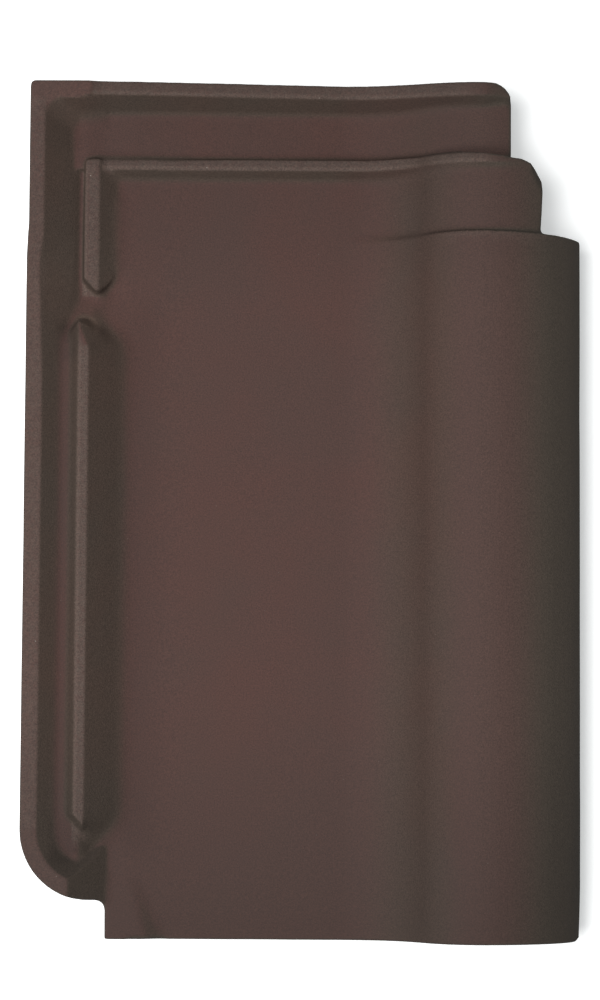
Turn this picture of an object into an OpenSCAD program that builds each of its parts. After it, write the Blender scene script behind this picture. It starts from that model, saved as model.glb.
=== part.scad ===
// Interlocking clay roof tile: a flat pan with a raised roll along one side, a double side lock along the
// other and a double head lock. It lies face up. In the modules x runs across the tile from the side lock's
// outer edge, y along it from the tail edge to the head, and z up from the floor, all in millimetres.

/* [Overall] */
// Width from the side lock's outer edge to the roll's free edge
tile_width = 262; // [250:1:300]
// Length from the tail edge to the head edge
tile_length = 404; // [370:1:460]
// Thickness of the fired sheet
wall = 11; // [9:0.5:12.5]
// Depth of the nibs and the tail foot below the pan
nib_depth = 12; // [9:0.5:16]

/* [Pan and roll] */
// Height of the roll's crest above the bottom of the pan
roll_height = 34; // [30:0.5:40]
// Distance from the crest to the roll's free edge
roll_edge_run = 48; // [42:0.5:52]
// Slope of the roll at its free edge, in degrees
roll_edge_slope = 72; // [60:1:78]
// Run of the rounded top of the roll on the pan's side
roll_top_run = 27; // [24:0.5:34]
// Run of the hollow at the roll's foot
roll_foot_run = 38; // [34:0.5:46]
// Rise of the pan from its bottom to the side lock
pan_rise = 1.2; // [1:0.1:4]
// Slope of each of the three steps by which the tail turns down, in degrees
tail_turn = 3; // [1:0.25:3.5]
// Length of the tail that turns down
tail_run = 36; // [24:1:45]
// Corner radius of the roll at the tail
tail_corner = 4; // [2:0.5:8]

/* [Side lock] */
// Height of the channel's floor above the bottom of the pan
channel_rise = 10.5; // [9:0.5:12]
// Height of the channel's floor beside the drain above the bottom of the pan
drain_rise = 3.5; // [2:0.5:4.5]
// Length of the ramp from the channel's head end down to the drain
drain_ramp = 21; // [16:1:26]
// Height of the outer rib above the channel's floor
outer_rib_height = 7.5; // [6:0.5:10]
// Width of the outer rib's top
outer_rib_width = 7.7; // [6:0.1:9]
// Run of the outer rib's inner slope
outer_rib_run = 8.6; // [7:0.1:10]
// Depth of the notch in the outer rib's inner edge beside the drain
notch_depth = 1.8; // [1:0.1:2.5]
// Distance that the outer edge is set in beside the head lock
edge_inset = 0.8; // [0.4:0.1:1.5]
// Distance from the outer edge to where the outer rib starts to slope down at its tail end
rib_end_x = 22.5; // [20:0.5:26]
// Run of that slope down to the pan
rib_end_run = 19; // [16:0.5:22]
// Distance from the outer edge to the inner rib's top
inner_rib_x = 24.8; // [23:0.1:26]
// Width of the inner rib's top
inner_rib_width = 4.7; // [3:0.1:6]
// Run of the inner rib's slope into the channel
inner_rib_flare = 4.4; // [3:0.1:5]
// Run of the inner rib's slope into the pan
inner_rib_run = 18; // [14:0.5:20]
// Run of the channel's slope into the pan past the inner rib's tail
ramp_run = 12.5; // [10:0.5:14]
// Height of the inner rib above the bottom of the pan
inner_rib_height = 17; // [14:0.5:19]
// Distance from the tail to the inner rib's tip
inner_rib_tail = 46; // [40:1:60]
// Radius of the side lock's corner at the head
outer_corner = 2.5; // [1.5:0.5:4]
// Distance from the tail to the side lock's end
lock_tail = 18.5; // [14:0.5:24]
// Radius of the side lock's corner at the tail
lock_corner = 33; // [28:0.5:36]
// Distance from the outer edge to the pan's side at the tail
ledge_x = 39; // [37.5:0.5:42]
// Width of the raised ledge in the pan's tail corner
ledge_width = 19; // [15:0.5:22]
// Length of the raised ledge
ledge_length = 40; // [30:1:50]
// Height of the raised ledge above the pan
ledge_height = 1.4; // [0.8:0.1:3]

/* [Head lock] */
// Length of the lowered head that the tile above covers
lap_length = 73; // [68:0.5:80]
// Drop of the roll at the head
lap_drop = 5; // [3:0.5:8]
// Distance that the lowered roll's foot is set in from the roll's foot
lap_foot = 5.5; // [4:0.5:12]
// Distance that the roll's edge is set in at the head
lap_inset = 19; // [14:0.5:22]
// Length of the head channel and its rib
head_length = 35.5; // [32:0.5:38]
// Further drop of the roll at the head channel
head_drop = 16; // [6:0.5:17]
// Depth of the head channel's low end below the bottom of the pan
head_sink = 2.5; // [0:0.5:4]
// Rise of the head channel's floor from its low end to the side lock
head_rise = 7; // [4:0.5:8]
// Height of the head channel's floor at the side lock above the bottom of the pan
corner_rise = 6; // [5:0.5:8]
// Distance that the head channel's end is set in from the roll's edge
head_inset = 33.5; // [28:0.5:38]
// Corner radius of the head on the roll's side
head_corner = 9.5; // [6:0.5:11]
// Height of the head rib above the channel's floor at the side lock
head_rib_height = 12; // [10:0.5:14]
// Height of the head rib at the channel's low end
head_rib_low = 10; // [8:0.5:12]
// Height of the head rib where it crosses the roll
head_rib_roll = 7; // [3:0.5:9]
// Height of the head rib at its end
head_rib_end = 3.5; // [2:0.5:6]
// Width of the head rib's top
head_rib_width = 6.4; // [5:0.1:8]
// Run of the head rib's slope
head_rib_run = 7.5; // [6:0.1:9]
// Height of the second rib above the pan
second_rib_height = 6; // [5:0.5:8]
// Height of the second rib where it crosses the roll
second_rib_roll = 2.5; // [1.5:0.5:5]
// Width of the second rib's top
second_rib_width = 5; // [4:0.1:6]
// Run of the second rib's slope
second_rib_run = 4.4; // [3:0.1:6]
// Distance from the outer edge to the second rib's leg
leg_x = 26.4; // [25:0.1:28]
// Width of the leg's top
leg_width = 6.7; // [6:0.1:9]
// Distance from the head to the leg's tip
leg_reach = 100; // [96:1:104]
// Distance from the leg's tip to the inner rib's tip
drain_gap = 11; // [8:0.5:14]

/* [Nibs and foot] */
// Width of each nib
nib_width = 34; // [24:1:40]
// Thickness of each nib at its end
nib_thick = 10; // [8:0.5:14]
// Distance from the head to the nibs' bearing faces
nib_reach = 52; // [46:1:58]
// Distance from the outer edge to the first nib
nib_x = 56; // [50:1:62]
// Distance between the nibs' centres
nib_gap = 76; // [60:1:84]
// Distance from the tail to the foot
foot_y = 10; // [8:0.5:16]
// Thickness of the foot at its end
foot_thick = 7; // [5:0.5:10]

/* [Hidden] */

clay = [0.34, 0.26, 0.24];
$fn = 96;

// Depths that ribs are sunk into the sheet, the trim that the outline takes off the sections, and the
// thickness of the thin slices that hulls are spanned between
sink = 3;
bed = 0.5;
trim = 2;
edge_trim = 0.6;
slice = 0.2;

// Levels
pan_z = nib_depth + wall;
channel_z = pan_z + channel_rise;
drain_z = pan_z + drain_rise;
corner_z = pan_z + corner_rise;
outer_z = channel_z + outer_rib_height;
inner_z = pan_z + inner_rib_height;
leg_z = drain_z + second_rib_height;
top_z = pan_z + roll_height + 20;

// Places across the tile
crest_x = tile_width - roll_edge_run;
low_x = crest_x - roll_top_run - roll_foot_run;
ramp_x = inner_rib_x + bed;
ramp_end_x = ramp_x + ramp_run;
lock_x = inner_rib_x + inner_rib_width + inner_rib_run;
roll_radius = roll_edge_run / sin(roll_edge_slope);

// Places along the tile; the channel's floor starts to fall this far before the inner rib's head end
ramp_lead = 14;
lap_y = tile_length - lap_length;
head_y = tile_length - head_length;
leg_y = tile_length - leg_reach;
rib_head_y = leg_y - drain_gap;
channel_end_y = rib_head_y - ramp_lead;

// The lowered roll's corner beside the second rib is worn off from this far below the rib's head side
worn_run = 13;

// The pan stays nearly flat and curves up towards the side lock by this power of the distance
PAN_POWER = 5;

// A tier is [bottom of the pan, rise to the side lock, power of that rise, roll height, edge, channel
// floor, start of the roll's foot, level that the channel's underside is a wall below]
COVER = [pan_z, pan_rise, PAN_POWER, roll_height, tile_width, channel_z, low_x, channel_z];
COVER_DRAIN = [pan_z, pan_rise, PAN_POWER, roll_height, tile_width, drain_z, low_x, corner_z];
LAP = [
    pan_z,
    pan_rise,
    PAN_POWER,
    roll_height - lap_drop,
    tile_width - lap_inset,
    drain_z,
    low_x + lap_foot,
    corner_z
];
HEAD = [
    pan_z - head_sink,
    head_rise,
    1,
    roll_height - lap_drop - head_drop + head_sink,
    tile_width - head_inset,
    corner_z,
    low_x,
    corner_z
];

function smooth(s) = let (c = min(1, max(0, s))) c * c * (3 - 2 * c);

// Height of a tier's top between the outer edge and the bottom of the pan
function pan_line(t, x) = t[0] + t[1] * pow(min(1, (low_x - x) / (low_x - lock_x)), t[2]);
function channel_share(x) = smooth((ramp_end_x - x) / (ramp_end_x - ramp_x));
function left_z(t, x) =
    let (s = channel_share(x))
    (1 - s) * pan_line(t, x) + s * t[5];

RAMP_STEPS = 6;
PAN_STEPS = 9;
LEFT_X = concat(
    [-trim],
    [for (i = [0 : RAMP_STEPS]) ramp_x + (ramp_end_x - ramp_x) * i / RAMP_STEPS],
    [for (i = [1 : PAN_STEPS - 1]) ramp_end_x + (low_x - ramp_end_x) * i / PAN_STEPS]
);

// Points on a circle's arc, with the angle measured from straight up towards the roll's edge
function arc(c, r, a0, a1, steps) = [
    for (i = [0 : steps])
        let (a = a0 + (a1 - a0) * i / steps)
        c + r * [sin(a), cos(a)]
];

function foot_run(t) = crest_x - roll_top_run - t[6];
function flank_angle(t) = 2 * atan(t[3] / (crest_x - t[6]));
function edge_angle(t) = asin(min(0.98, (t[4] + edge_trim - crest_x) / roll_radius));

// The three arcs of a tier's roll, a depth d below its top
function foot_arc(t, d) =
    let (q = flank_angle(t), r = foot_run(t) / sin(q))
    arc([t[6], t[0] + r], r + d, 180, 180 - q, 14);
function rise_arc(t, d) =
    let (q = flank_angle(t), r = roll_top_run / sin(q))
    arc([crest_x, t[0] + t[3] - r], r - d, -q, 0, 14);
function edge_arc(t, d) =
    arc([crest_x, t[0] + t[3] - roll_radius], roll_radius - d, 0, edge_angle(t), 18);

function skip_first(list) = [for (i = [1 : len(list) - 1]) list[i]];
function backwards(list) = [for (i = [len(list) - 1 : -1 : 0]) list[i]];

// A tier's line from the outer edge to the roll's edge, a depth d below its top
function line(t, d) = concat(
    [for (x = LEFT_X) [x, left_z(t, x) - d]],
    foot_arc(t, d),
    skip_first(rise_arc(t, d)),
    skip_first(edge_arc(t, d))
);

function lowered(t, fall) = [for (p = line(t, 0)) [p[0], p[1] - fall]];

// The same line raised by a rib, by the lift at the side lock, at the bottom of the pan, on the roll and at
// the roll's edge
function rib_line(t, lift) = [
    for (p = line(t, 0))
        let (a = min(1, max(0, (p[0] - ramp_x) / (low_x - ramp_x))))
        let (b = p[0] < low_x ? 0 : p[0] > crest_x ? 1 : smooth((p[1] - t[0]) / t[3]))
        let (c = smooth((p[0] - crest_x) / (t[4] - crest_x)))
        let (on_pan = lift[0] + (lift[1] - lift[0]) * a, on_roll = lift[2] + (lift[3] - lift[2]) * c)
        [p[0], p[1] + (1 - b) * on_pan + b * on_roll]
];

// Stands a section up along the tile
module stand(y0, y1) {
    translate([0, y1, 0])
        rotate([90, 0, 0])
            linear_extrude(y1 - y0)
                children();
}

// The underside stays level below the drain and the head channel, so that the floor is thinner at the drain
module sheet(t, y0, y1) {
    below = [t[0], t[1], t[2], t[3], t[4], t[7], t[6]];
    stand(y0, y1)
        polygon(concat(line(t, 0), backwards(line(below, wall))));
}

// All that lies under a line once it is swept both ways from y along a slope
module under_slope(points, y, slope, reach) {
    low = -60;
    top = [for (p = points) [p[0], (p[1] - pan_z) * cos(slope)]];
    last = len(top) - 1;
    translate([0, y, pan_z])
        rotate([90 + slope, 0, 0])
            linear_extrude(2 * reach, center = true)
                polygon(concat(top, [[top[last][0], low], [top[0][0], low]]));
}

// The sheet, tier by tier, with the tail turned down in three steps
module pan_and_roll() {
    step = tail_run / 3;
    fall = [0, step * tan(tail_turn), step * (tan(tail_turn) + tan(2 * tail_turn))];
    intersection() {
        sheet(COVER, -trim, channel_end_y);
        under_slope(lowered(COVER, fall[0]), 3 * step, tail_turn, tile_length * 1.2);
        under_slope(lowered(COVER, fall[1]), 2 * step, 2 * tail_turn, tile_length * 1.2);
        under_slope(lowered(COVER, fall[2]), step, 3 * tail_turn, tile_length * 1.2);
    }
    channel_ramp();
    sheet(COVER_DRAIN, channel_end_y, lap_y);
    sheet(LAP, lap_y - wall, head_y + 1);
    sheet(HEAD, head_y - second_rib_width, tile_length + trim);
    riser();
}

// The channel's floor slopes down to the drain past its head end, and on into the pan beside the drain
module channel_ramp() {
    y0 = channel_end_y;
    y1 = y0 + drain_ramp * channel_rise / (channel_rise - drain_rise);
    lap = 1;
    intersection() {
        sheet(COVER, y0 - lap, y1);
        translate([-trim, 0, 0])
            rotate([90, 0, 90])
                linear_extrude(ramp_end_x + trim)
                    polygon([[y0 - lap, 0], [y1, 0], [y1, pan_z], [y0, channel_z], [y0 - lap, channel_z]]);
    }
}

// The clay that joins the lowered roll to the head channel below it
module riser() {
    inset = 0.5;
    stand(head_y - wall, head_y)
        polygon(concat(line(LAP, inset), backwards(line(HEAD, wall - inset))));
}

// A rib across the tile whose flat top lies between y0 and y1, with its slope on the tail's side
module cross_rib(t, y0, y1, run, lift, start_x) {
    up = rib_line(t, lift);
    down = line(t, sink);
    intersection() {
        stand(y0 - 1.5 * run, y1)
            intersection() {
                polygon(concat(up, backwards(down)));
                translate([start_x, 0])
                    square([tile_width, top_z]);
            }
        under_slope(up, y0, atan(lift[0] / run), 60);
    }
}

// Place of the outer rib's inner slope at a height
function slope_x(z) = outer_rib_width + outer_rib_run * (outer_z - z) / outer_rib_height;

// The outer rib's section, down to a level below the floor beside it
module outer_rib_section(base) {
    polygon([[-trim, base], [slope_x(base), base], [outer_rib_width, outer_z], [-trim, outer_z]]);
}

// The outer rib runs from the head and around the tail corner
module outer_rib() {
    difference() {
        stand(lock_tail + lock_corner, tile_length + trim)
            outer_rib_section(drain_z - bed);
        rib_notch();
    }
    rib_end();
    corner_block();
}

// Around the tail corner and beside the pan the rib slopes down to its end
module rib_end() {
    turn_y = lock_tail + lock_corner;
    over = 1;
    end_x = ledge_x + 2 * sink;
    fall = rib_end_run / (outer_z - pan_z);
    low = pan_z - sink;
    intersection() {
        union() {
            translate([lock_corner, turn_y, 0])
                rotate([0, 0, 180])
                    rotate_extrude(angle = 90)
                        translate([lock_corner, 0])
                            mirror([1, 0])
                                outer_rib_section(drain_z - bed);
            translate([lock_corner, lock_tail, 0])
                rotate([90, 0, 90])
                    linear_extrude(end_x - lock_corner)
                        outer_rib_section(low);
        }
        stand(lock_tail - 2 * trim, turn_y + over)
            polygon([
                [-2 * trim, low],
                [rib_end_x + fall * (outer_z - low), low],
                [rib_end_x - fall * over, outer_z + over],
                [-2 * trim, outer_z + over]
            ]);
    }
}

// The rib's inner edge is cut back beside the drain, and comes back slowly along the channel
module rib_notch() {
    over = 0.5;
    top = outer_z + over;
    reach = 15;
    back = 54;
    deep_y = lap_y - reach;
    back_y = deep_y - back;
    hull()
        for (p = [[lap_y, 0, corner_z], [deep_y, notch_depth, corner_z], [back_y, 0, channel_z + bed]])
            stand(p[0], p[0] + slice)
                polygon([[slope_x(top) - p[1], top], [slope_x(p[2]), p[2]], [slope_x(top) + over, top]]);
}

// The wider corner where the outer rib meets the head rib, with its inner corner cut off
module corner_block() {
    extra_width = 2;
    cut = 5;
    base = corner_z - bed;
    top_y = tile_length - head_rib_width - extra_width;
    foot_y = top_y - head_rib_run * (outer_z - base) / head_rib_height;
    edge_y = tile_length + trim;
    end_x = inner_rib_x + inner_rib_width;
    translate([-trim, 0, 0])
        rotate([90, 0, 90])
            linear_extrude(end_x + trim)
                polygon([[foot_y, base], [edge_y, base], [edge_y, outer_z], [top_y, outer_z]]);
    hull() {
        translate([0, 0, outer_z - 2 * slice])
            linear_extrude(slice)
                cut_corner(outer_rib_width, top_y, cut);
        translate([0, 0, base])
            linear_extrude(slice)
                cut_corner(slope_x(base), foot_y, cut);
    }
}

module cut_corner(x, y, cut) {
    polygon([[x - sink, y - cut], [x, y - cut], [x + cut, y], [x + cut, y + sink], [x - sink, y + sink]]);
}

// The worn-off corner of the lowered roll: a facet through four points, each given from the roll's edge,
// the end of the worn stretch and the lowered crest
module corner_cut() {
    facet = [[-7.5, 5, -3.6], [0.5, -11, -7.8], [0.5, 1, -12], [-4, 9, -9]];
    tall = 20;
    translate([tile_width - lap_inset, head_y - worn_run, pan_z + roll_height - lap_drop])
        hull()
            for (p = facet)
                translate(p)
                    cube([slice, slice, tall]);
}

// The second rib's head side curves back towards the tail on the roll's far shoulder
module rib_curve() {
    curve = [[-9, 0], [0, -0.5], [8, -1.3], [15, -2.2], [tile_width, -2.2]];
    low = HEAD[0] + HEAD[3] + bed;
    over = 2;
    translate([crest_x, head_y, low])
        linear_extrude(top_z)
            polygon(concat(curve, [[tile_width, over], [curve[0][0], over]]));
}

// The long rib between the channel and the pan, whose ends are hipped more on the pan's side
module inner_rib() {
    x0 = inner_rib_x;
    x1 = x0 + inner_rib_width;
    y0 = inner_rib_tail;
    y1 = rib_head_y;
    base = pan_z - bed;
    flare = inner_rib_flare * (inner_z - base) / (inner_z - channel_z);
    tail_hip = [12.5, 7.5];
    head_hip = [4, 16];
    pan_hip = [12, 14];
    toe = 7;
    tip = 1;
    hull() {
        translate([0, 0, inner_z - slice])
            linear_extrude(slice)
                polygon([
                    [x0, y0 + tail_hip[0]],
                    [x1, y0 + tail_hip[1]],
                    [x1, y1 - head_hip[1]],
                    [x0, y1 - head_hip[0]]
                ]);
        translate([0, 0, base])
            linear_extrude(pan_rise)
                polygon([
                    [x0 - flare, y0 + tail_hip[0]],
                    [x0, y0],
                    [x1 + toe, y0],
                    [lock_x, y0 + pan_hip[0]],
                    [lock_x, y1 - pan_hip[1]],
                    [x1 + 2 * tip, y1 + tip / 2],
                    [x0 - tip, y1 + tip],
                    [x0 - flare, y1 - head_hip[1]]
                ]);
    }
}

// The raised ledge in the pan's tail corner stays level where the pan turns down beside it
module ledge() {
    x0 = ledge_x - trim;
    wide = ledge_width + trim;
    side_run = 11;
    tip_width = 8;
    taper = 5;
    bend_y = 0.6 * ledge_length;
    fall = tail_run * tan(2 * tail_turn);
    low = pan_z - fall - sink;
    top = pan_z + ledge_height;
    hull() {
        translate([x0, -trim, low])
            cube([wide, slice, top - low]);
        translate([x0, bend_y, low])
            cube([wide - taper, slice, top - low]);
        translate([x0, -trim, low])
            cube([wide + side_run, slice, sink - bed]);
        translate([x0, ledge_length, low])
            cube([tip_width, slice, pan_z - bed - low]);
    }
}

// The leg that the second rib sends down beside the drain, with a slanted tip
module leg() {
    x0 = leg_x;
    x1 = leg_x + leg_width;
    y1 = head_y - 2 * slice;
    r = 2.5;
    slant = 7;
    foot = 10;
    hull() {
        translate([0, 0, leg_z - slice])
            linear_extrude(slice) {
                polygon([[x0, leg_y + slant], [x1, leg_y], [x1, y1], [x0 + r, y1], [x0, y1 - r]]);
                translate([x0 + r, y1 - r])
                    circle(r, $fn = 24);
            }
        translate([0, 0, pan_z - bed])
            linear_extrude(pan_rise)
                polygon([
                    [x0 - 1, leg_y + slant - 2],
                    [x1 + 1, leg_y - 2],
                    [x1 + foot, leg_y + foot],
                    [x1 + foot, y1],
                    [x0, y1]
                ]);
    }
}

// The tile's outline seen from above
module outline() {
    side_lock_outline();
    exposed_outline();
    head_outline();
}

module side_lock_outline() {
    turn_y = lock_tail + lock_corner;
    r = outer_corner;
    lap = 10;
    inset_run = 15;
    inset_y = lap_y + 5;
    fillet = 4.5;
    translate([lock_corner, turn_y])
        circle(lock_corner);
    polygon([
        [0, turn_y],
        [0, inset_y - inset_run],
        [edge_inset, inset_y],
        [edge_inset, tile_length - r],
        [ledge_x + lap, tile_length - r],
        [ledge_x + lap, turn_y]
    ]);
    translate([lock_corner, lock_tail])
        square([ledge_x + lap - lock_corner, tile_length - lock_tail]);
    // Corner at the head
    translate([edge_inset + r, tile_length - r - 1])
        square([ledge_x, r + 1]);
    translate([edge_inset + r, tile_length - r])
        circle(r);
    // Inner corner beside the pan's tail
    difference() {
        translate([ledge_x - fillet, lock_tail - fillet])
            square([fillet + 1, fillet + 1]);
        translate([ledge_x - fillet, lock_tail - fillet])
            circle(fillet);
    }
}

module exposed_outline() {
    r = tail_corner;
    translate([ledge_x, 0])
        square([tile_width - r - ledge_x, lap_y]);
    translate([tile_width - r - 1, r])
        square([r + 1, lap_y - r]);
    translate([tile_width - r, r])
        circle(r);
}

// The lowered roll's edge leans in towards the tail, and its corner beside the second rib is worn round
module head_outline() {
    lap_x = tile_width - lap_inset;
    head_x = tile_width - head_inset;
    r = head_corner;
    lean = 1.3;
    worn = [[0, -worn_run], [-4.5, -5.5], [-6, -4], [-10, -2.5]];
    polygon(concat(
        [[ledge_x, lap_y - 1], [lap_x - lean, lap_y - 1]],
        [for (p = worn) [lap_x, head_y] + p],
        [[head_x, head_y - 1.5], [head_x - 1, head_y], [ledge_x, head_y]]
    ));
    translate([ledge_x, head_y - 1])
        square([head_x - r - ledge_x, head_length + 1]);
    translate([head_x - r - 1, head_y - 1])
        square([r + 1, head_length + 1 - r]);
    translate([head_x - r, tile_length - r])
        circle(r);
}

// A nib hangs over a roof batten by the upright face on its tail side
module nib(x) {
    deep = pan_z - 2;
    draft = 4;
    translate([x - nib_width / 2, tile_length - nib_reach, 0])
        rotate([90, 0, 90])
            linear_extrude(nib_width)
                polygon([[0, 0], [nib_thick, 0], [nib_thick + draft, deep], [0, deep]]);
}

// The foot across the tail bears on the tile below
module foot() {
    deep = pan_z - 5;
    draft = 2.5;
    inset = 6;
    x0 = lock_x + inset;
    x1 = low_x + roll_foot_run / 2;
    translate([x0, foot_y, 0])
        rotate([90, 0, 90])
            linear_extrude(x1 - x0)
                polygon([[0, 0], [foot_thick, 0], [foot_thick + draft, deep], [-draft, deep]]);
}

// Everything above the nibs and the foot, before the outline trims it
module body() {
    pan_and_roll();
    cross_rib(
        HEAD,
        tile_length - head_rib_width,
        tile_length + trim,
        head_rib_run,
        [head_rib_height, head_rib_low, head_rib_roll, head_rib_end],
        -trim
    );
    cross_rib(
        LAP,
        head_y - second_rib_width,
        head_y,
        second_rib_run,
        [second_rib_height, second_rib_height, second_rib_roll, 0],
        leg_x + 3
    );
    outer_rib();
    inner_rib();
    ledge();
    leg();
}

module roof_tile() {
    color(clay)
        translate([-tile_width / 2, -tile_length / 2, 0]) {
            intersection() {
                difference() {
                    body();
                    corner_cut();
                    rib_curve();
                }
                linear_extrude(top_z)
                    outline();
            }
            nib(nib_x);
            nib(nib_x + nib_gap);
            foot();
        }
}

roof_tile();
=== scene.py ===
"""Interlocking clay roof tile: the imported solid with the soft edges, hollow feet, worn rib tops and matte
engobe of a pressed and fired tile, on a pale studio floor."""

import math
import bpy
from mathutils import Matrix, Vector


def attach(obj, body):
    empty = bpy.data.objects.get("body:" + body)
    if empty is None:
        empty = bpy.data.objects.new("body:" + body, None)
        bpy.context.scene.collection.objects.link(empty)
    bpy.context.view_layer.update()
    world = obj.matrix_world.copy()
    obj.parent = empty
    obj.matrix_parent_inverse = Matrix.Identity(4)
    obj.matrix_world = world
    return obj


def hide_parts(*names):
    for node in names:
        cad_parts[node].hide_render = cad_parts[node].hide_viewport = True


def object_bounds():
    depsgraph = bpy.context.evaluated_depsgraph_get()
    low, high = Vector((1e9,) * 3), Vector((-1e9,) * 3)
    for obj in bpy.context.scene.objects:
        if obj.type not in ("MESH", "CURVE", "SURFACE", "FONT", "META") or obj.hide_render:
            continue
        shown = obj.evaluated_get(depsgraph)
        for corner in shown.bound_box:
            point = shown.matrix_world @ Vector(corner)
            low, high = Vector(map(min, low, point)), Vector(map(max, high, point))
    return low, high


bl_info = {
    "name": "Clay Roof Tile",
    "version": (1, 0, 0),
    "blender": (4, 5, 0),
    "location": "View3D > Sidebar > Roof Tile",
    "description": "Models a pressed and fired interlocking clay roof tile on a studio floor",
    "category": "Object",
}

import bpy
import numpy as np
from mathutils import Matrix, Vector

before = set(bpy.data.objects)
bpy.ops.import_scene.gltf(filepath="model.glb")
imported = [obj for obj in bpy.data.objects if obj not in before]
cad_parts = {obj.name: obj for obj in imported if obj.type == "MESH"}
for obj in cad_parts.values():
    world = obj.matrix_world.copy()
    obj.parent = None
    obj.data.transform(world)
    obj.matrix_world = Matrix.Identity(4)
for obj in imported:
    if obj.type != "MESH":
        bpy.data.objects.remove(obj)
CAD_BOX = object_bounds()

MM = 0.001

# Gap over which a copied node's loose corners are merged, and the camera's sensor along the picture's height
MERGE_GAP = 0.001 * MM
SENSOR_LENGTH = 36.0

# The tile's places in millimetres: across from the side lock's outer edge, and along from the tail edge
OUTER_RIB_WIDTH = 7.7
LOCK_CORNER = 33.0
LOCK_TURN = 51.5
HEAD_EDGE = 404.0
ROLL_EDGE = 262.0
SECOND_RIB_HEAD = 368.5
LAP_STEP = 331.0

# Stretches along the tile: from past the tail to past the head, the leg's top and the inner rib's top
FULL_LENGTH = (-10.0, 420.0)
LEG_TOP = (303.0, 362.5)
INNER_RIB_TOP = (46.0, 278.0)

# Worn tops along the outer edges run this far past them
EDGE_MARGIN = 1.0

# Worn rib tops and edges as (across from, across to, along from, along to, strength, tone, fade in and fade
# out across); a tone above 1 on the tail-side edges of the head rib and second rib and the left edges of the
# leg and inner rib is a painted highlight where the rounded edge faces the light
WORN_TOPS_AND_HIGHLIGHTS = (
    (-EDGE_MARGIN, 8.4, LOCK_TURN, 396.0, 0.7, 0.98, 0.5, 0.5),
    (-EDGE_MARGIN, 30.0, 393.0, HEAD_EDGE + EDGE_MARGIN, 0.25, 1.1, 0.5, 0.5),
    (30.0, 208.0, 399.4, HEAD_EDGE + EDGE_MARGIN, 0.85, 0.87, 0.5, 8.0),
    (30.0, 208.0, 396.8, 399.4, 1.0, 1.1, 0.5, 8.0),
    (26.5, 218.0, 365.2, SECOND_RIB_HEAD + 0.5, 0.9, 0.9, 1.0, 7.0),
    (26.5, 218.0, 362.5, 365.2, 1.0, 1.15, 1.0, 7.0),
    (25.5, 28.2, *LEG_TOP, 1.0, 1.14, 0.4, 0.4),
    (28.2, 34.0, *LEG_TOP, 0.9, 1.0, 0.4, 0.5),
    (23.8, 26.2, *INNER_RIB_TOP, 1.0, 1.14, 0.4, 0.4),
    (26.2, 30.0, *INNER_RIB_TOP, 1.0, 0.95, 0.4, 0.5),
    (190.0, ROLL_EDGE, 328.5, LAP_STEP + 0.5, 0.45, 1.0, 14.0, 0.5),
)

# Fade at the ends of the worn tops in millimetres, and how far the rib around the tail corner is scuffed
WORN_FADE = 0.5
CORNER_SCUFF = 0.3

# Stretches across over which the engobe turns greyer on the roll, a painted cooler light, and along over
# which the tail and the head darken, and how much greyer the tail turns
ROLL_GREYING = (188.0, 216.0)
TAIL_SHADE = (-2.0, 130.0)
HEAD_SHADE = (290.0, 350.0)
TAIL_GREYING = 0.8

# Leans over which a face turns from level to a slope, where a painted sheen greys the engobe
SHEEN_LEAN = (math.radians(10), math.radians(40))

# Upward part of a face's normal over which it turns level enough to rub, and headward part over which it
# turns to face the head
LEVEL_FACE = (0.6, 0.9)
HEADWARD_FACE = (0.2, 0.5)

# Depth of a crease, in cells, at which its hollow foot starts and over which it grows to its full strength,
# the foot's gain from cell to cell, and the share by which each smoothing pass moves a vertex
HOLLOW_START = 0.015
HOLLOW_SPAN = 0.03
FOOT_GAIN = 1.25
SMOOTHING = 0.5

# Patches of the weathered face are (across from, across to, along from, along to, fade, strength).
# Wide hollows: the inner rib's foot along the pan, the channel's floor, the foot of the leg, the inner rib's
# ends, the ledge's side and the corner below the head rib
WIDE_FEET = (
    (40.0, 64.0, 58.0, 280.0, 4.0, 1.0),
    (12.5, 21.0, 56.0, 284.0, 2.0, 0.5),
    (38.0, 54.0, 316.0, 350.0, 3.0, 0.8),
    (32.0, 48.0, 268.0, 303.0, 3.0, 1.0),
    (31.0, 50.0, 45.0, 58.0, 2.5, 1.0),
    (50.0, 66.0, -4.0, 26.0, 3.0, 0.25),
    (25.0, 36.0, 382.0, 396.0, 1.5, 1.0),
)

# Creases that stay tight: the ramp past the inner rib's tail and the leg's side along the drain
TIGHT_CREASES = (
    (22.0, 42.0, 30.0, 46.0, 3.0, 0.85),
    (19.0, 28.0, 300.0, 372.0, 1.0, 0.85),
)

# Painted shade, darkening the engobe where less light falls: the roll's flank towards the pan, the
# channel's floor and its head end, the pan along the inner rib and the inner rib's tail end
PAINTED_SHADE_PATCHES = (
    (176.0, 208.0, *FULL_LENGTH, 12.0, 0.08),
    (14.0, 24.5, 36.0, 288.0, 2.5, 0.18),
    (14.0, 25.0, 270.0, 290.0, 3.0, 0.28),
    (44.0, 62.0, 40.0, 300.0, 10.0, 0.13),
    (20.5, 26.5, 40.0, 54.0, 1.5, 0.22),
)

# Painted light, lightening the engobe where more light falls: the roll's free edge, the slope down to the
# drain and the leg's side towards the pan
PAINTED_LIGHT_PATCHES = (
    (252.0, 270.0, -10.0, 340.0, 5.0, 0.22),
    (8.0, 23.0, 306.0, 372.0, 2.0, 0.07),
    (34.0, 44.0, 306.0, 360.0, 2.0, 0.06),
)

# Slopes that face the head: painted shade behind the tail corner's rib, painted light at the inner rib's
# head end
HEADWARD_PAINTED_SHADE = ((-4.0, 42.0, 12.0, 56.0, 4.0, 0.25),)
HEADWARD_PAINTED_LIGHT = ((24.0, 34.0, 276.0, 293.0, 2.0, 0.6),)

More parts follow.
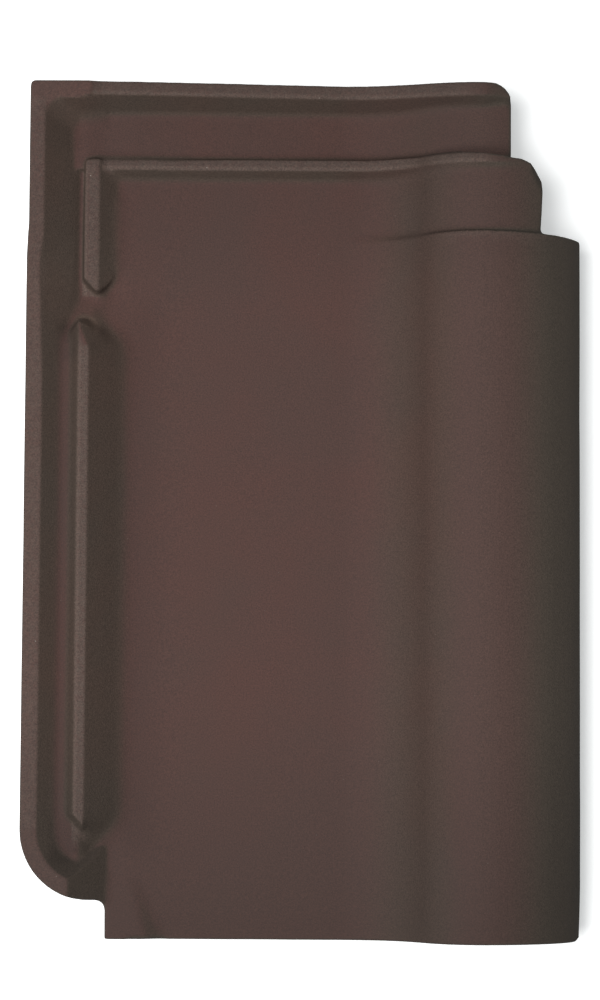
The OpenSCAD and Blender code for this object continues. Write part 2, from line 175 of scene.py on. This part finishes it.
# The roll's flank towards the pan gets less of the painted sheen than the other slopes do, and keeps more of
# its red
LESS_SHEEN_FLANK = ((150.0, 215.0, *FULL_LENGTH, 8.0, 0.4),)

# Layers of every noise in the engobe
NOISE_DETAIL = 3.0

# The engobe's slow drift and its rubbed places: their sizes, the values of the noise between which they
# turn, the rubbed places' raggedness and the least share of a scuff that shows between them
DRIFT_SIZE = 45 * MM
DRIFT_RANGE = (0.35, 0.65)
RUB_SIZE = 2.2 * MM
RUB_RANGE = (0.3, 0.62)
RUB_RAGGED = 0.65
RUB_LEAST = 0.45

# The sandy grain: its raggedness, the values of its noise that are used, how dark and how light it makes the
# plain and the scuffed engobe, its spread of roughness, the reach of a grain's dome and its bumps
GRAIN_RAGGED = 0.6
GRAIN_RANGE = (0.3, 0.7)
GRAIN_PLAIN = (0.7, 1.3)
GRAIN_SCUFFED = (0.58, 1.45)
GRAIN_ROUGHNESS = 0.05
GRAIN_DOME = 0.7
BUMP_STRENGTH = 0.8
BUMP_HEIGHT = 0.14 * MM

# Share of the pale specks that shows where nothing is scuffed, the engobe's gloss and the floor's roughness
SPECK_PLAIN = 0.15
ENGOBE_GLOSS = 0.3
FLOOR_ROUGHNESS = 0.9


class TileShape(bpy.types.PropertyGroup):
    """Sizes of the fired tile's own relief"""

    voxel: bpy.props.FloatProperty(
        name="Voxel",
        description="Size of the cells that the solid is remeshed with",
        default=0.8 * MM,
        min=0.4 * MM,
        unit="LENGTH",
        precision=5,
    )
    edge_passes: bpy.props.IntProperty(
        name="Edge Passes",
        description="Smoothing passes that round every edge, as the mould and the drying leave it",
        default=4,
        min=0,
    )
    foot_passes: bpy.props.IntProperty(
        name="Foot Passes",
        description="Smoothing passes that hollow the feet of the ribs and steps",
        default=60,
        min=0,
    )
    wide_passes: bpy.props.IntProperty(
        name="Wide Foot Passes",
        description="Smoothing passes that widen the hollow between the side lock and the pan",
        default=240,
        min=0,
    )
    foot_reach: bpy.props.IntProperty(
        name="Foot Reach",
        description="Cells that the hollow feet reach out from their creases",
        default=5,
        min=0,
    )
    waviness: bpy.props.FloatProperty(
        name="Waviness",
        description="Height of the slow waves that pressing and firing leave in the clay",
        default=0.25 * MM,
        unit="LENGTH",
        precision=5,
    )
    wave_size: bpy.props.FloatProperty(
        name="Wave Size",
        description="Size of those waves",
        default=38 * MM,
        unit="LENGTH",
        precision=4,
    )
    triangles: bpy.props.IntProperty(
        name="Triangles",
        description="Triangles that the finished mesh is thinned to",
        default=194000,
        max=199000,
    )


class TileFinish(bpy.types.PropertyGroup):
    """Colours and grain of the engobe"""

    engobe: bpy.props.FloatVectorProperty(
        name="Engobe",
        description="Colour of the matte engobe",
        subtype="COLOR",
        default=(0.0615, 0.0285, 0.023),
        min=0.0,
        max=1.0,
    )
    # Painted light colour: on the roll this greyer colour stands in for a cooler light; at the tail it only
    # greys the engobe
    grey_tint_colour: bpy.props.FloatVectorProperty(
        name="Dusty",
        description="Greyer colour of the engobe on the roll",
        subtype="COLOR",
        default=(0.059, 0.0325, 0.0265),
        min=0.0,
        max=1.0,
    )
    # Painted sheen: this tint greys the engobe on the slopes, as a grey sheen of light on steep faces would
    slope_sheen_tint: bpy.props.FloatVectorProperty(
        name="Slope Tint",
        description="Colour that multiplies the engobe on the slopes of the ribs, where it lies thinner",
        subtype="COLOR",
        default=(0.96, 1.32, 1.24),
        min=0.0,
        max=2.0,
    )
    tail_tone: bpy.props.FloatProperty(
        name="Tail Tone",
        description="Tone of the engobe at the tail, as a share of its tone elsewhere",
        subtype="FACTOR",
        default=0.735,
        min=0.0,
        max=1.0,
    )
    head_tone: bpy.props.FloatProperty(
        name="Head Tone",
        description="Tone of the engobe on the lowered head, as a share of its tone elsewhere",
        subtype="FACTOR",
        default=0.89,
        min=0.0,
        max=1.0,
    )
    mottle: bpy.props.FloatVectorProperty(
        name="Mottle",
        description="Colour that the engobe drifts to in slow patches",
        subtype="COLOR",
        default=(0.056, 0.0288, 0.0236),
        min=0.0,
        max=1.0,
    )
    scuffed: bpy.props.FloatVectorProperty(
        name="Scuffed",
        description="Colour of the scuffed rib tops",
        subtype="COLOR",
        default=(0.071, 0.0485, 0.0392),
        min=0.0,
        max=1.0,
    )
    speck: bpy.props.FloatVectorProperty(
        name="Speck",
        description="Colour of the pale sand specks",
        subtype="COLOR",
        default=(0.22, 0.19, 0.165),
        min=0.0,
        max=1.0,
    )
    grain_size: bpy.props.FloatProperty(
        name="Grain Size",
        description="Size of the sandy grain",
        default=0.7 * MM,
        unit="LENGTH",
        precision=5,
    )
    roughness: bpy.props.FloatProperty(
        name="Roughness",
        description="Roughness of the engobe",
        subtype="FACTOR",
        default=0.8,
        min=0.0,
        max=1.0,
    )


class TileStudio(bpy.types.PropertyGroup):
    """The floor, the light and the camera"""

    floor: bpy.props.FloatVectorProperty(
        name="Floor",
        description="Colour of the pale floor",
        subtype="COLOR",
        default=(0.85, 0.85, 0.85),
        min=0.0,
        max=1.0,
    )
    floor_bounce: bpy.props.FloatVectorProperty(
        name="Floor Bounce",
        description="Colour of the light that the floor throws back at the tile",
        subtype="COLOR",
        default=(0.35, 0.35, 0.35),
        min=0.0,
        max=1.0,
    )
    floor_glow: bpy.props.FloatProperty(
        name="Floor Glow",
        description="Light that comes through the floor from below",
        default=0.5,
        min=0.0,
    )
    floor_size: bpy.props.FloatProperty(
        name="Floor Size",
        description="Length of the floor's sides",
        default=6.0,
        unit="LENGTH",
    )
    key_power: bpy.props.FloatProperty(
        name="Key Power",
        description="Power of the large soft light",
        default=52.5,
        unit="POWER",
    )
    key_size: bpy.props.FloatProperty(
        name="Key Size",
        description="Side of the large soft light",
        default=1.1,
        unit="LENGTH",
    )
    key_distance: bpy.props.FloatProperty(
        name="Key Distance",
        description="Distance of the large soft light from the tile",
        default=2.0,
        unit="LENGTH",
    )
    key_left: bpy.props.FloatProperty(
        name="Key Left",
        description="Angle by which the light stands to the left of straight above",
        default=math.radians(20),
        subtype="ANGLE",
    )
    key_head: bpy.props.FloatProperty(
        name="Key Head",
        description="Angle by which the light stands towards the tile's head",
        default=math.radians(-6),
        subtype="ANGLE",
    )
    sky: bpy.props.FloatVectorProperty(
        name="Sky",
        description="Colour of the light that comes from all around",
        subtype="COLOR",
        default=(0.92, 1.0, 1.0),
        min=0.0,
        max=1.0,
    )
    sky_strength: bpy.props.FloatProperty(
        name="Sky Strength",
        description="Strength of the light that comes from all around",
        default=0.29,
        min=0.0,
    )
    camera_place: bpy.props.FloatVectorProperty(
        name="Camera Place",
        description="Where the camera stands above the tile",
        subtype="TRANSLATION",
        unit="LENGTH",
        default=(-1.63 * MM, -112.52 * MM, 1514.28 * MM),
    )
    camera_lean: bpy.props.FloatProperty(
        name="Camera Lean",
        description="Angle by which the view leans from straight down towards the head",
        default=math.radians(4.5),
        subtype="ANGLE",
    )
    camera_roll: bpy.props.FloatProperty(
        name="Camera Roll",
        description="Turn of the picture about the line of sight",
        default=math.radians(0.35),
        subtype="ANGLE",
    )
    focal_length: bpy.props.FloatProperty(
        name="Focal Length",
        description="Focal length on a sensor of 36 mm along the picture's height",
        default=113.76,
    )


def deselect_all():
    bpy.ops.object.select_all(action="DESELECT")


def make_active(obj):
    deselect_all()
    obj.select_set(True)
    bpy.context.view_layer.objects.active = obj


def apply_modifier(obj, kind, **settings):
    """Adds one modifier with these settings and applies it."""
    make_active(obj)
    modifier = obj.modifiers.new(kind.title(), kind)
    for name, value in settings.items():
        setattr(modifier, name, value)
    bpy.ops.object.modifier_apply(modifier=modifier.name)


def copy_of_node(node, name):
    """A new piece from a copy of a CAD node's mesh, with its loose triangles merged."""
    piece = bpy.data.objects.new(name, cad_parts[node].data.copy())
    bpy.context.scene.collection.objects.link(piece)
    piece.data.materials.clear()
    make_active(piece)
    bpy.ops.object.mode_set(mode="EDIT")
    bpy.ops.mesh.select_all(action="SELECT")
    bpy.ops.mesh.remove_doubles(threshold=MERGE_GAP)
    bpy.ops.object.mode_set(mode="OBJECT")
    return piece


def vertex_array(mesh, name):
    values = np.empty(len(mesh.vertices) * 3, np.float32)
    mesh.vertices.foreach_get(name, values)
    return values.reshape(-1, 3).astype(float)


def edge_array(mesh):
    ends = np.empty(len(mesh.edges) * 2, np.int32)
    mesh.edges.foreach_get("vertices", ends)
    return ends.reshape(-1, 2)


def neighbour_mean(values, ends, counts):
    """The mean of each vertex's neighbours."""
    total = np.bincount(ends[:, 0], values[ends[:, 1]], len(values))
    total += np.bincount(ends[:, 1], values[ends[:, 0]], len(values))
    return total / counts


def crease_weights(mesh, cell, reach):
    """From 0 on flats and edges to 1 in the hollow creases, spread over a few cells."""
    place = vertex_array(mesh, "co")
    normal = vertex_array(mesh, "normal")
    ends = edge_array(mesh)
    counts = np.maximum(np.bincount(ends.ravel(), minlength=len(place)), 1)
    mean = np.stack([neighbour_mean(place[:, i], ends, counts) for i in range(3)], axis=1)
    hollow = ((mean - place) * normal).sum(axis=1) / cell
    weight = np.clip((hollow - HOLLOW_START) / HOLLOW_SPAN, 0.0, 1.0)
    for _ in range(reach):
        weight = np.maximum(weight, neighbour_mean(weight, ends, counts) * FOOT_GAIN)
    return np.clip(weight, 0.0, 1.0)


def set_group(obj, name, weights, levels=12):
    """Stores weights in a vertex group, in a few levels."""
    group = obj.vertex_groups.new(name=name)
    rank = np.round(weights * levels).astype(int)
    for level in range(1, levels + 1):
        members = np.flatnonzero(rank == level)
        if len(members):
            group.add(members.tolist(), level / levels, "REPLACE")


def soft_step(value, start, end):
    share = np.clip((value - start) / (end - start), 0.0, 1.0)
    return share * share * (3 - 2 * share)


def inside(value, low, high, fade):
    return soft_step(value, low - fade, low + fade) * (1 - soft_step(value, high - fade, high + fade))


def tile_places(mesh):
    """Each vertex's place across the tile from the side lock's edge and along it from the tail, in mm."""
    place = (vertex_array(mesh, "co") - np.array(CAD_BOX[0])) / MM
    return place[:, 0], place[:, 1]


def patch_weights(mesh, patches):
    """From 0 to each patch's strength over these patches of the weathered face."""
    across, along = tile_places(mesh)
    weight = np.zeros(len(across))
    for x0, x1, y0, y1, fade, strength in patches:
        weight = np.maximum(weight, strength * inside(across, x0, x1, fade) * inside(along, y0, y1, fade))
    return weight * (vertex_array(mesh, "normal")[:, 2] > 0)


def grey_tint_weights(mesh):
    """From 0 on the pan to 1 on the roll, where the grey tint is a painted cooler light, and nearly 1 at the
    tail.
    """
    across, along = tile_places(mesh)
    at_tail = 1 - soft_step(along, *TAIL_SHADE)
    return np.maximum(soft_step(across, *ROLL_GREYING), TAIL_GREYING * at_tail)


def sheen_weights(mesh):
    """From 0 on level faces to 1 on the slopes of the ribs, where the painted sheen goes."""
    lean = np.arccos(np.clip(vertex_array(mesh, "normal")[:, 2], -1.0, 1.0))
    return soft_step(lean, *SHEEN_LEAN) * (1 - patch_weights(mesh, LESS_SHEEN_FLANK))


def scuff_and_tone_with_painted_light(mesh, finish):
    """How far each place is scuffed, from 0 to 1 on the rib tops that rub when tiles are stacked, and the
    engobe's tone there: darker towards the tail and the head, with painted shade and painted light on
    patches and head-facing slopes and painted highlights along the edges of the worn tops."""
    across, along = tile_places(mesh)
    normal = vertex_array(mesh, "normal")
    level = soft_step(normal[:, 2], *LEVEL_FACE)
    headward = soft_step(normal[:, 1], *HEADWARD_FACE)
    scuff = np.zeros(len(across))
    tone = 1 + (finish.tail_tone - 1) * (1 - soft_step(along, *TAIL_SHADE))
    tone *= 1 + (finish.head_tone - 1) * soft_step(along, *HEAD_SHADE)
    # Painted shade on the darker patches
    tone *= 1 - patch_weights(mesh, PAINTED_SHADE_PATCHES)
    # Painted light on the paler patches
    tone *= 1 + patch_weights(mesh, PAINTED_LIGHT_PATCHES)
    # Painted shade and painted light on the slopes that face the head
    tone *= 1 - headward * patch_weights(mesh, HEADWARD_PAINTED_SHADE)
    tone *= 1 + headward * patch_weights(mesh, HEADWARD_PAINTED_LIGHT)
    for x0, x1, y0, y1, strength, top_tone_and_highlight, fade_in, fade_out in WORN_TOPS_AND_HIGHLIGHTS:
        spread = level * soft_step(across, x0 - fade_in, x0 + fade_in) * inside(along, y0, y1, WORN_FADE)
        spread *= 1 - soft_step(across, x1 - fade_out, x1 + fade_out)
        scuff = np.maximum(scuff, strength * spread)
        # A tone above 1 here paints a highlight along a rounded edge that faces the light
        tone *= 1 + (top_tone_and_highlight - 1) * spread
    radius = np.hypot(across - LOCK_CORNER, along - LOCK_TURN)
    corner = inside(radius, LOCK_CORNER - OUTER_RIB_WIDTH, LOCK_CORNER + EDGE_MARGIN, WORN_FADE)
    corner *= (across < LOCK_CORNER) & (along < LOCK_TURN)
    return np.maximum(scuff, CORNER_SCUFF * corner * level), tone


def keep_inside(mesh):
    """Holds the waves inside the CAD model's box."""
    place = np.clip(vertex_array(mesh, "co"), CAD_BOX[0], CAD_BOX[1])
    mesh.vertices.foreach_set("co", place.astype(np.float32).ravel())
    mesh.update()


def set_attribute(mesh, name, values):
    attribute = mesh.attributes.new(name, "FLOAT", "POINT")
    attribute.data.foreach_set("value", values.astype(np.float32))


class NodeBuilder:
    """Adds shader nodes to a tree and links them."""

    def __init__(self, tree):
        self.tree = tree

    def add(self, kind, inputs=None, **settings):
        node = self.tree.nodes.new(kind)
        for name, value in settings.items():
            setattr(node, name, value)
        for key, value in (inputs or {}).items():
            self.feed(node.inputs[key], value)
        return node

    def feed(self, socket, value):
        if isinstance(value, bpy.types.NodeSocket):
            self.tree.links.new(value, socket)
        else:
            socket.default_value = value

    def math(self, operation, a, b):
        return self.add("ShaderNodeMath", {0: a, 1: b}, operation=operation).outputs[0]

    def ramp(self, value, low, high, to_low=0.0, to_high=1.0):
        inputs = {"Value": value, "From Min": low, "From Max": high, "To Min": to_low, "To Max": to_high}
        return self.add("ShaderNodeMapRange", inputs, clamp=True).outputs["Result"]

    def noise(self, place, size, roughness=0.5):
        inputs = {"Vector": place, "Scale": 1.0 / size, "Detail": NOISE_DETAIL, "Roughness": roughness}
        return self.add("ShaderNodeTexNoise", inputs).outputs["Fac"]

    def mix(self, share, a, b, blend="MIX"):
        node = self.add("ShaderNodeMix", data_type="RGBA", blend_type=blend)
        self.feed(node.inputs[0], share)
        self.feed(node.inputs[6], a)
        self.feed(node.inputs[7], b)
        return node.outputs[2]


def opaque(colour):
    return (*colour, 1.0)


def sand_group():
    """Sandy grain of a given size: a mask that varies about one half, and a height."""
    tree = bpy.data.node_groups.new("Sandy Grain", "ShaderNodeTree")
    tree.interface.new_socket("Vector", in_out="INPUT", socket_type="NodeSocketVector")
    size = tree.interface.new_socket("Size", in_out="INPUT", socket_type="NodeSocketFloat")
    size.default_value = 1 * MM
    tree.interface.new_socket("Mask", in_out="OUTPUT", socket_type="NodeSocketFloat")
    tree.interface.new_socket("Height", in_out="OUTPUT", socket_type="NodeSocketFloat")
    build = NodeBuilder(tree)
    given = build.add("NodeGroupInput").outputs
    scale = build.math("DIVIDE", 1.0, given["Size"])
    inputs = {"Vector": given["Vector"], "Scale": scale, "Detail": NOISE_DETAIL, "Roughness": GRAIN_RAGGED}
    grain = build.add("ShaderNodeTexNoise", inputs).outputs["Fac"]
    cells = build.add("ShaderNodeTexVoronoi", {"Vector": given["Vector"], "Scale": scale})
    dome = build.ramp(cells.outputs["Distance"], 0.0, GRAIN_DOME, 1.0, 0.0)
    result = build.add("NodeGroupOutput")
    build.feed(result.inputs["Mask"], grain)
    build.feed(result.inputs["Height"], build.math("MULTIPLY", build.math("ADD", grain, dome), 0.5))
    return tree


def speck_group():
    """Scattered specks: a mask that is 1 in a few round dots of about the given size."""
    tree = bpy.data.node_groups.new("Sand Specks", "ShaderNodeTree")
    tree.interface.new_socket("Vector", in_out="INPUT", socket_type="NodeSocketVector")
    for name, value in (("Size", 0.5 * MM), ("Spacing", 6 * MM), ("Share", 0.3)):
        socket = tree.interface.new_socket(name, in_out="INPUT", socket_type="NodeSocketFloat")
        socket.default_value = value
    tree.interface.new_socket("Mask", in_out="OUTPUT", socket_type="NodeSocketFloat")
    build = NodeBuilder(tree)
    given = build.add("NodeGroupInput").outputs
    scale = build.math("DIVIDE", 1.0, given["Spacing"])
    cells = build.add("ShaderNodeTexVoronoi", {"Vector": given["Vector"], "Scale": scale})
    radius = build.math("MULTIPLY", build.math("DIVIDE", given["Size"], given["Spacing"]), 0.5)
    dot = build.math("LESS_THAN", cells.outputs["Distance"], radius)
    draw = build.add("ShaderNodeSeparateColor", {"Color": cells.outputs["Color"]}).outputs["Red"]
    chosen = build.math("LESS_THAN", draw, given["Share"])
    result = build.add("NodeGroupOutput")
    build.feed(result.inputs["Mask"], build.math("MULTIPLY", dot, chosen))
    return tree


def engobe_material(finish):
    """Matte engobe over fired clay, mottled and sandy, greyer on the roll as a painted cooler light and on
    the slopes as a painted sheen, and scuffed paler on the rib tops."""
    material = bpy.data.materials.new("matte_engobe")
    material.use_nodes = True
    tree = material.node_tree
    tree.nodes.clear()
    build = NodeBuilder(tree)
    place = build.add("ShaderNodeTexCoord").outputs["Object"]
    sand = build.add("ShaderNodeGroup", {}, node_tree=sand_group())
    build.feed(sand.inputs["Vector"], place)
    build.feed(sand.inputs["Size"], finish.grain_size)
    specks = build.add("ShaderNodeGroup", {}, node_tree=speck_group())
    build.feed(specks.inputs["Vector"], place)
    scuff = build.add("ShaderNodeAttribute", attribute_name="scuff").outputs["Fac"]

    # Slow drift of the engobe's colour, its grey tint on the roll and the tail, and a painted sheen on the
    # slopes
    patches = build.ramp(build.noise(place, DRIFT_SIZE), *DRIFT_RANGE)
    colour = build.mix(patches, opaque(finish.engobe), opaque(finish.mottle))
    grey_tint = build.add("ShaderNodeAttribute", attribute_name="grey_tint").outputs["Fac"]
    colour = build.mix(grey_tint, colour, opaque(finish.grey_tint_colour))
    # Painted sheen: the slopes are greyed by the tint, as if lit by a grey sheen
    slope = build.add("ShaderNodeAttribute", attribute_name="slope").outputs["Fac"]
    colour = build.mix(slope, colour, build.mix(1.0, colour, opaque(finish.slope_sheen_tint), "MULTIPLY"))

    # Scuffed tops, broken up by the rubbed places
    rubbed = build.ramp(build.noise(place, RUB_SIZE, RUB_RAGGED), *RUB_RANGE)
    worn = build.math("MULTIPLY", scuff, build.ramp(rubbed, 0.0, 1.0, RUB_LEAST, 1.0))
    colour = build.mix(worn, colour, opaque(finish.scuffed))

    # Fine grain in the colour, stronger where the top is scuffed, and the tone, which holds painted shade,
    # painted light and painted highlights
    dark_grain = build.ramp(scuff, 0.0, 1.0, GRAIN_PLAIN[0], GRAIN_SCUFFED[0])
    light_grain = build.ramp(scuff, 0.0, 1.0, GRAIN_PLAIN[1], GRAIN_SCUFFED[1])
    grain = build.ramp(sand.outputs["Mask"], *GRAIN_RANGE, dark_grain, light_grain)
    # The tone carries the painted shade, painted light and painted highlights into the colour
    tone = build.add("ShaderNodeAttribute", attribute_name="tone").outputs["Fac"]
    grain = build.math("MULTIPLY", grain, tone)
    shade = build.add("ShaderNodeCombineColor", {"Red": grain, "Green": grain, "Blue": grain}).outputs[0]
    colour = build.mix(1.0, colour, shade, "MULTIPLY")

    # Pale specks, mostly on the scuffed tops
    pale = build.math("MULTIPLY", specks.outputs["Mask"], build.ramp(scuff, 0.0, 1.0, SPECK_PLAIN, 1.0))
    colour = build.mix(pale, colour, opaque(finish.speck))

    least = finish.roughness - GRAIN_ROUGHNESS
    most = finish.roughness + GRAIN_ROUGHNESS
    rough = build.ramp(sand.outputs["Mask"], *GRAIN_RANGE, least, most)
    bump = build.add(
        "ShaderNodeBump",
        {"Height": sand.outputs["Height"], "Strength": BUMP_STRENGTH, "Distance": BUMP_HEIGHT},
    ).outputs["Normal"]
    shader = build.add(
        "ShaderNodeBsdfPrincipled",
        {"Base Color": colour, "Roughness": rough, "Normal": bump, "Specular IOR Level": ENGOBE_GLOSS},
    )
    build.add("ShaderNodeOutputMaterial", {"Surface": shader.outputs["BSDF"]})
    return material


def floor_material(studio):
    """A white lit sheet that throws little light back at the tile."""
    material = bpy.data.materials.new("studio_floor")
    material.use_nodes = True
    build = NodeBuilder(material.node_tree)
    shader = material.node_tree.nodes["Principled BSDF"]
    seen = build.add("ShaderNodeLightPath").outputs["Is Camera Ray"]
    colour = build.mix(seen, opaque(studio.floor_bounce), opaque(studio.floor))
    build.feed(shader.inputs["Base Color"], colour)
    shader.inputs["Roughness"].default_value = FLOOR_ROUGHNESS
    shader.inputs["Specular IOR Level"].default_value = 0.0
    shader.inputs["Emission Color"].default_value = opaque(studio.floor)
    build.feed(shader.inputs["Emission Strength"], build.ramp(seen, 0.0, 1.0, 0.0, studio.floor_glow))
    return material


class ROOFTILE_OT_tile(bpy.types.Operator):
    """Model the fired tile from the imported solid, with soft edges, hollow feet and worn rib tops"""

    bl_idname = "rooftile.tile"
    bl_label = "Fired Tile"
    bl_options = {"REGISTER", "UNDO"}

    def execute(self, context):
        shape = context.scene.tile_shape
        finish = context.scene.tile_finish
        tile = copy_of_node("roof_tile", "fired_tile")
        apply_modifier(tile, "REMESH", mode="VOXEL", voxel_size=shape.voxel)
        apply_modifier(tile, "SMOOTH", factor=SMOOTHING, iterations=shape.edge_passes)
        feet = crease_weights(tile.data, shape.voxel, shape.foot_reach)
        feet *= 1 - patch_weights(tile.data, TIGHT_CREASES)
        set_group(tile, "feet", feet)
        self.hollow(tile, "feet", shape.foot_passes)
        set_group(tile, "wide_feet", patch_weights(tile.data, WIDE_FEET))
        self.hollow(tile, "wide_feet", shape.wide_passes)
        tile.vertex_groups.clear()
        self.add_waves(tile, shape)
        keep_inside(tile.data)
        faces = sum(len(face.vertices) - 2 for face in tile.data.polygons)
        apply_modifier(tile, "DECIMATE", ratio=min(1.0, shape.triangles / faces))
        scuff, tone = scuff_and_tone_with_painted_light(tile.data, finish)
        set_attribute(tile.data, "scuff", scuff)
        set_attribute(tile.data, "tone", tone)
        set_attribute(tile.data, "grey_tint", grey_tint_weights(tile.data))
        set_attribute(tile.data, "slope", sheen_weights(tile.data))
        make_active(tile)
        bpy.ops.object.shade_smooth()
        tile.data.materials.append(engobe_material(finish))
        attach(tile, "root")
        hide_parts("roof_tile")
        return {"FINISHED"}

    def hollow(self, tile, group, passes):
        apply_modifier(tile, "SMOOTH", factor=SMOOTHING, iterations=passes, vertex_group=group)

    def add_waves(self, tile, shape):
        waves = bpy.data.textures.new("clay_waves", "CLOUDS")
        waves.noise_scale = shape.wave_size
        waves.noise_depth = 2
        apply_modifier(
            tile,
            "DISPLACE",
            texture=waves,
            texture_coords="LOCAL",
            strength=shape.waviness,
            mid_level=0.5,
        )


class ROOFTILE_OT_stage(bpy.types.Operator):
    """Lay the pale floor, hang the soft light and set the camera above the tile"""

    bl_idname = "rooftile.stage"
    bl_label = "Studio"
    bl_options = {"REGISTER", "UNDO"}

    def execute(self, context):
        studio = context.scene.tile_studio
        self.add_floor(studio)
        self.add_key_light(studio)
        self.add_sky(context.scene, studio)
        self.add_camera(context.scene, studio)
        context.scene.view_settings.view_transform = "Standard"
        return {"FINISHED"}

    def add_floor(self, studio):
        deselect_all()
        bpy.ops.mesh.primitive_plane_add(size=studio.floor_size, location=(0, 0, CAD_BOX[0].z))
        floor = bpy.context.object
        floor.name = "studio_floor"
        floor.data.materials.append(floor_material(studio))

    def add_key_light(self, studio):
        towards = Vector((-math.tan(studio.key_left), math.tan(studio.key_head), 1.0)).normalized()
        deselect_all()
        bpy.ops.object.light_add(type="AREA", location=towards * studio.key_distance)
        key = bpy.context.object
        key.name = "key_light"
        key.data.shape = "SQUARE"
        key.data.size = studio.key_size
        key.data.energy = studio.key_power
        key.rotation_euler = towards.to_track_quat("Z", "Y").to_euler()

    def add_sky(self, scene, studio):
        world = bpy.data.worlds.new("soft_sky")
        world.use_nodes = True
        background = world.node_tree.nodes["Background"]
        background.inputs["Color"].default_value = opaque(studio.sky)
        background.inputs["Strength"].default_value = studio.sky_strength
        scene.world = world

    def add_camera(self, scene, studio):
        lean, roll = studio.camera_lean, studio.camera_roll
        right = Vector((1.0, 0.0, 0.0))
        up = Vector((0.0, math.cos(lean), math.sin(lean)))
        back = Vector((0.0, -math.sin(lean), math.cos(lean)))
        turned_right = right * math.cos(roll) + up * math.sin(roll)
        turned_up = up * math.cos(roll) - right * math.sin(roll)
        turn = Matrix((turned_right, turned_up, back)).transposed()
        deselect_all()
        bpy.ops.object.camera_add(location=studio.camera_place, rotation=turn.to_euler())
        camera = bpy.context.object
        camera.name = "photo_camera"
        camera.data.sensor_width = SENSOR_LENGTH
        camera.data.lens = studio.focal_length
        scene.camera = camera


class ROOFTILE_PT_panel(bpy.types.Panel):
    """The tile's sizes, finish and studio in the sidebar"""

    bl_idname = "ROOFTILE_PT_panel"
    bl_label = "Roof Tile"
    bl_space_type = "VIEW_3D"
    bl_region_type = "UI"
    bl_category = "Roof Tile"

    def draw(self, context):
        scene = context.scene
        groups = (
            (ROOFTILE_OT_tile, (scene.tile_shape, scene.tile_finish)),
            (ROOFTILE_OT_stage, (scene.tile_studio,)),
        )
        for operator, settings in groups:
            column = self.layout.column()
            column.operator(operator.bl_idname)
            for group in settings:
                for name in group.bl_rna.properties.keys():
                    if name not in ("rna_type", "name"):
                        column.prop(group, name)


CLASSES = (
    TileShape,
    TileFinish,
    TileStudio,
    ROOFTILE_OT_tile,
    ROOFTILE_OT_stage,
    ROOFTILE_PT_panel,
)


def register():
    for cls in CLASSES:
        bpy.utils.register_class(cls)
    bpy.types.Scene.tile_shape = bpy.props.PointerProperty(type=TileShape)
    bpy.types.Scene.tile_finish = bpy.props.PointerProperty(type=TileFinish)
    bpy.types.Scene.tile_studio = bpy.props.PointerProperty(type=TileStudio)


def unregister():
    del bpy.types.Scene.tile_studio
    del bpy.types.Scene.tile_finish
    del bpy.types.Scene.tile_shape
    for cls in reversed(CLASSES):
        bpy.utils.unregister_class(cls)


def main():
    register()
    bpy.ops.rooftile.tile()
    bpy.ops.rooftile.stage()


if __name__ == "__main__":
    main()
